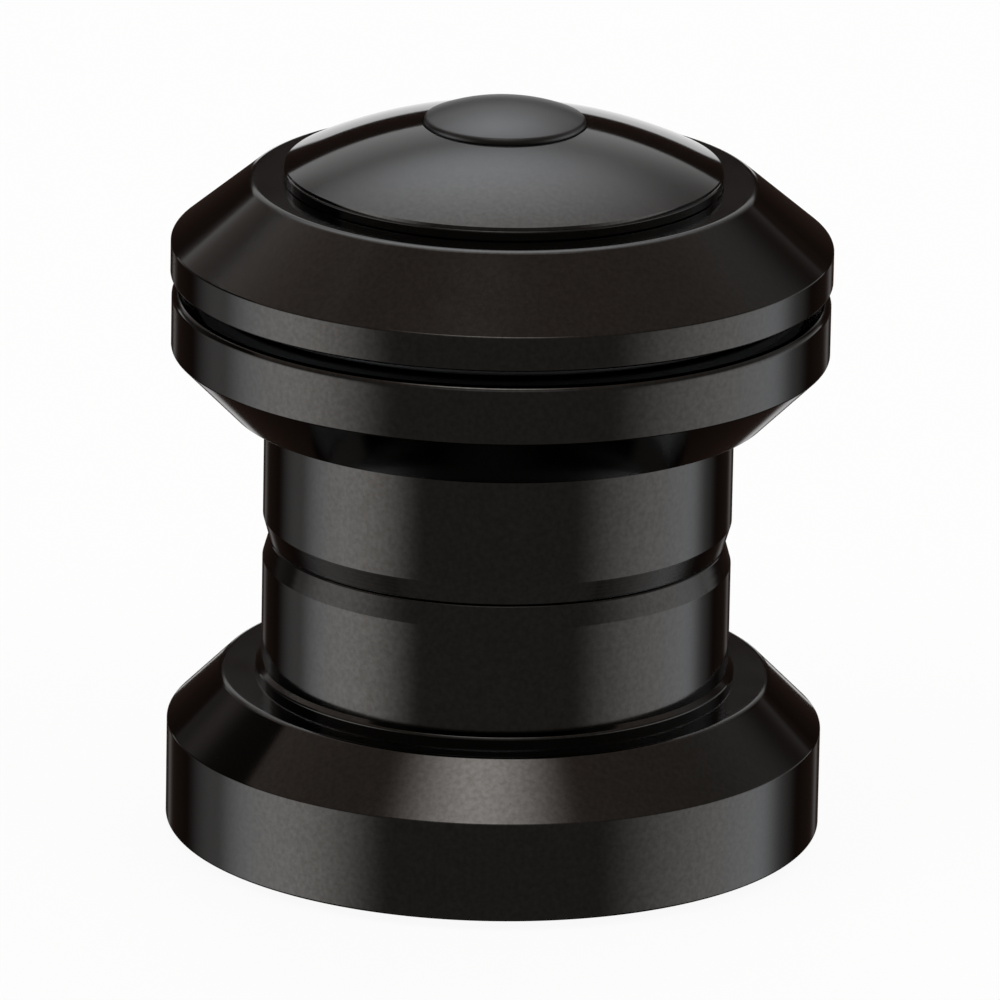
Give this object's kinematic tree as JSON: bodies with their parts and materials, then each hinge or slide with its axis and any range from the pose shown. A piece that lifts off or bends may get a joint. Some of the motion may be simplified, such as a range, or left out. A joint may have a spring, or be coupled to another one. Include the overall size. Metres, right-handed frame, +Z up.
{
  "type": "bicycle headset",
  "caption": "Threadless bicycle headset: two press-in cups stacked skirt to skirt, with cartridge bearings, crown race, conical cover and domed top cap that turn on them.",
  "frame": {"origin": "on the steering axis, at the base of the crown race, where the fork's crown meets it", "axes": "+Z up the steering axis towards the top cap; the slit of the compression ring faces +Y"},
  "size_m": [0.0478, 0.0478, 0.0548],
  "materials": {
    "black_anodised_aluminium": "black anodised, satin gloss",
    "blackened_steel": "turned and blackened",
    "bearing_steel": "ground",
    "ball_steel": "polished",
    "zinc_plated_steel": "zinc plated",
    "seal_rubber": "moulded, matte",
    "plug_rubber": "moulded, satin",
    "ring_nylon": "moulded, glass filled",
    "cage_nylon": "moulded, natural"
  },
  "bodies": {
    "cups": {"lower_cup": "black_anodised_aluminium", "upper_cup": "black_anodised_aluminium", "lower_bearing_outer_race": "bearing_steel", "lower_bearing_wedge_side_seal": "seal_rubber", "lower_bearing_seat_side_seal": "seal_rubber", "upper_bearing_outer_race": "bearing_steel", "upper_bearing_wedge_side_seal": "seal_rubber", "upper_bearing_seat_side_seal": "seal_rubber"},
    "fork_side": {"crown_race": "blackened_steel", "crown_race_seal": "seal_rubber", "lower_bearing_inner_race": "bearing_steel"},
    "steerer_side": {"bearing_cover": "black_anodised_aluminium", "cover_seal": "seal_rubber", "cover_o_ring": "seal_rubber", "compression_ring": "ring_nylon", "upper_bearing_inner_race": "bearing_steel", "top_cap": "black_anodised_aluminium", "cap_bolt": "blackened_steel", "cap_plug": "plug_rubber", "star_nut_barrel": "zinc_plated_steel", "star_nut_upper_star": "zinc_plated_steel", "star_nut_lower_star": "zinc_plated_steel"},
    "lower_cage": {"lower_bearing_cage": "cage_nylon", "lower_bearing_balls": "ball_steel"},
    "upper_cage": {"upper_bearing_cage": "cage_nylon", "upper_bearing_balls": "ball_steel"}
  },
  "joints": [
    {"name": "lower_bearing_turn", "type": "hinge", "parent": "cups", "child": "fork_side", "pos_m": [0, 0, 0.0068], "axis": [0, 0, 1], "continuous": true},
    {"name": "upper_bearing_turn", "type": "hinge", "parent": "cups", "child": "steerer_side", "pos_m": [0, 0, 0.0372], "axis": [0, 0, 1], "continuous": true},
    {"name": "lower_cage_turn", "type": "hinge", "parent": "cups", "child": "lower_cage", "pos_m": [0, 0, 0.0068], "axis": [0, 0, 1], "continuous": true},
    {"name": "upper_cage_turn", "type": "hinge", "parent": "cups", "child": "upper_cage", "pos_m": [0, 0, 0.0372], "axis": [0, 0, 1], "continuous": true}
  ],
  "couplings": [
    {"joint": "lower_cage_turn", "follows": "lower_bearing_turn", "ratio": 0.46847},
    {"joint": "upper_cage_turn", "follows": "upper_bearing_turn", "ratio": 0.46847}
  ]
}
